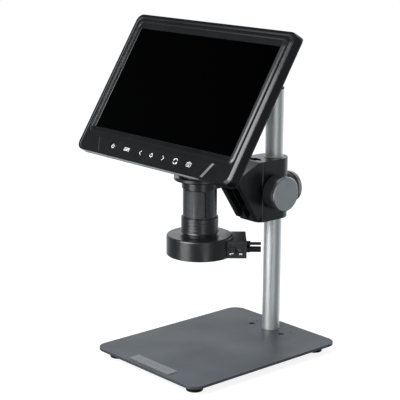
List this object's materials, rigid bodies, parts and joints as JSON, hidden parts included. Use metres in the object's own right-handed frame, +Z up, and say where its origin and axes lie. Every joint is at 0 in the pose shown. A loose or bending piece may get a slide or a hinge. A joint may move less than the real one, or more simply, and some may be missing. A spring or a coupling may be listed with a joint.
{
  "type": "lcd digital microscope",
  "caption": "Bench microscope with a tilting screen above a camera barrel and ring light, on a focusing arm that slides on a pole over a plate base.",
  "frame": {"origin": "on the desk plane under the centre of the base plate", "axes": "+X to the user's right, +Y away from the user towards the pole, +Z up the pole"},
  "size_m": [0.261, 0.231, 0.3864],
  "materials": {
    "base_paint": "satin grey powder coat",
    "foot_rubber": "moulded",
    "screw_steel": "zinc plated",
    "plate_silver": "satin, blank",
    "pole_aluminium": "satin anodised",
    "black_plastic": "satin",
    "dark_steel": "blackened",
    "black_casting": "fine satin paint",
    "liner_plastic": "bare",
    "bush_brass": "machined",
    "knob_black": "satin",
    "knob_silver": "satin turned",
    "rail_steel": "ground",
    "barrel_black": "satin black",
    "panel_grey": "fine texture",
    "lens_glass": "coated",
    "circuit_board": "solder mask",
    "chip_black": "moulded",
    "ring_black": "satin",
    "led_board_white": "solder mask",
    "led_lens": "clear resin over phosphor",
    "diffuser_clear": "clear acrylic",
    "switch_black": "fine texture",
    "inlet_black": "moulded",
    "bezel_black": "satin to gloss",
    "screen_black": "gloss",
    "backlight_metal": "pressed sheet",
    "connector_metal": "plated",
    "cover_black": "fine texture",
    "overlay_black": "satin film",
    "button_black": "satin"
  },
  "bodies": {
    "stand": {"base_plate": "base_paint", "rubber_feet": "foot_rubber", "foot_screws": "screw_steel", "rating_plate": "plate_silver", "pole_tube": "pole_aluminium", "pole_end_cap": "black_plastic", "pole_base_plug": "dark_steel", "pole_bolt": "dark_steel"},
    "carriage": {"clamp_housing": "black_casting", "pole_liners": "liner_plastic", "shaft_bushes": "bush_brass", "clamp_insert": "bush_brass", "clamp_pad": "liner_plastic"},
    "lock_knob": {"clamp_screw": "screw_steel", "clamp_grip": "knob_black", "clamp_knob_cap": "knob_silver"},
    "focus_shaft": {"pinion_shaft": "screw_steel", "pinion": "bush_brass", "right_knob_grip": "knob_black", "left_knob_grip": "knob_black", "right_knob_cap": "knob_silver", "left_knob_cap": "knob_silver", "knob_grub_screws": "dark_steel"},
    "focus_arm": {"arm_bracket": "black_casting", "slide_rail": "rail_steel", "focus_rack": "bush_brass", "rail_screws": "screw_steel", "barrel_tube": "barrel_black", "barrel_panel": "panel_grey", "rear_lens": "lens_glass", "head_flange": "barrel_black", "head_shell": "barrel_black", "sensor_board": "circuit_board", "image_sensor": "chip_black", "tilt_yoke": "black_casting", "tilt_pin": "screw_steel", "ring_light_housing": "ring_black", "led_board": "led_board_white", "led_emitters": "led_lens", "ring_diffuser": "diffuser_clear", "switch_box": "switch_black", "slide_switch": "chip_black", "light_inlets": "inlet_black"},
    "lens_ring": {"lens_ring": "barrel_black"},
    "lens_group": {"lens_cell": "barrel_black", "front_lens": "lens_glass", "lens_drive_pin": "screw_steel"},
    "light_switch": {"switch_slider": "switch_black"},
    "monitor": {"bezel": "bezel_black", "lcd_panel": "screen_black", "backlight_unit": "backlight_metal", "display_board": "circuit_board", "board_connectors": "connector_metal", "rear_cover": "cover_black", "cover_screws": "dark_steel", "key_overlay": "overlay_black", "key_board": "circuit_board", "hinge_plate": "black_casting", "hinge_screws": "screw_steel"},
    "power_button": {"power_button": "button_black"}
  },
  "joints": [
    {"name": "carriage_height", "type": "slide", "parent": "stand", "child": "carriage", "axis": [0, 0, 1], "range_m": [-0.095, 0.078]},
    {"name": "lock_turn", "type": "hinge", "parent": "carriage", "child": "lock_knob", "pos_m": [0, 0.105, 0.184], "axis": [0, 1, 0], "range_deg": [0, 180]},
    {"name": "focus_travel", "type": "slide", "parent": "carriage", "child": "focus_arm", "axis": [0, 0, 1], "range_m": [-0.015, 0.015]},
    {"name": "focus_turn", "type": "hinge", "parent": "carriage", "child": "focus_shaft", "pos_m": [0, 0.0673, 0.1883], "axis": [1, 0, 0], "range_deg": [-144, 144]},
    {"name": "lens_ring_turn", "type": "hinge", "parent": "focus_arm", "child": "lens_ring", "pos_m": [0, -0.028, 0.16185], "axis": [0, 0, 1], "range_deg": [-40, 40]},
    {"name": "lens_group_travel", "type": "slide", "parent": "focus_arm", "child": "lens_group", "axis": [0, 0, 1], "range_m": [-0.0026, 0.0026]},
    {"name": "light_switch_travel", "type": "slide", "parent": "focus_arm", "child": "light_switch", "axis": [0.6626, 0.749, 0], "range_m": [0, 0.0068]},
    {"name": "screen_tilt", "type": "hinge", "parent": "focus_arm", "child": "monitor", "pos_m": [0, -0.048, 0.268], "axis": [1, 0, 0], "range_deg": [-45, 30]},
    {"name": "power_press", "type": "slide", "parent": "monitor", "child": "power_button", "axis": [0, 0.8427, -0.5383], "range_m": [0, 0.0006], "stiffness_N_per_m": 500, "springref_m": -0.0004}
  ],
  "couplings": [
    {"joint": "focus_turn", "follows": "focus_travel", "rad_per_m": -166.67},
    {"joint": "lens_group_travel", "follows": "lens_ring_turn", "m_per_rad": 0.003581}
  ]
}
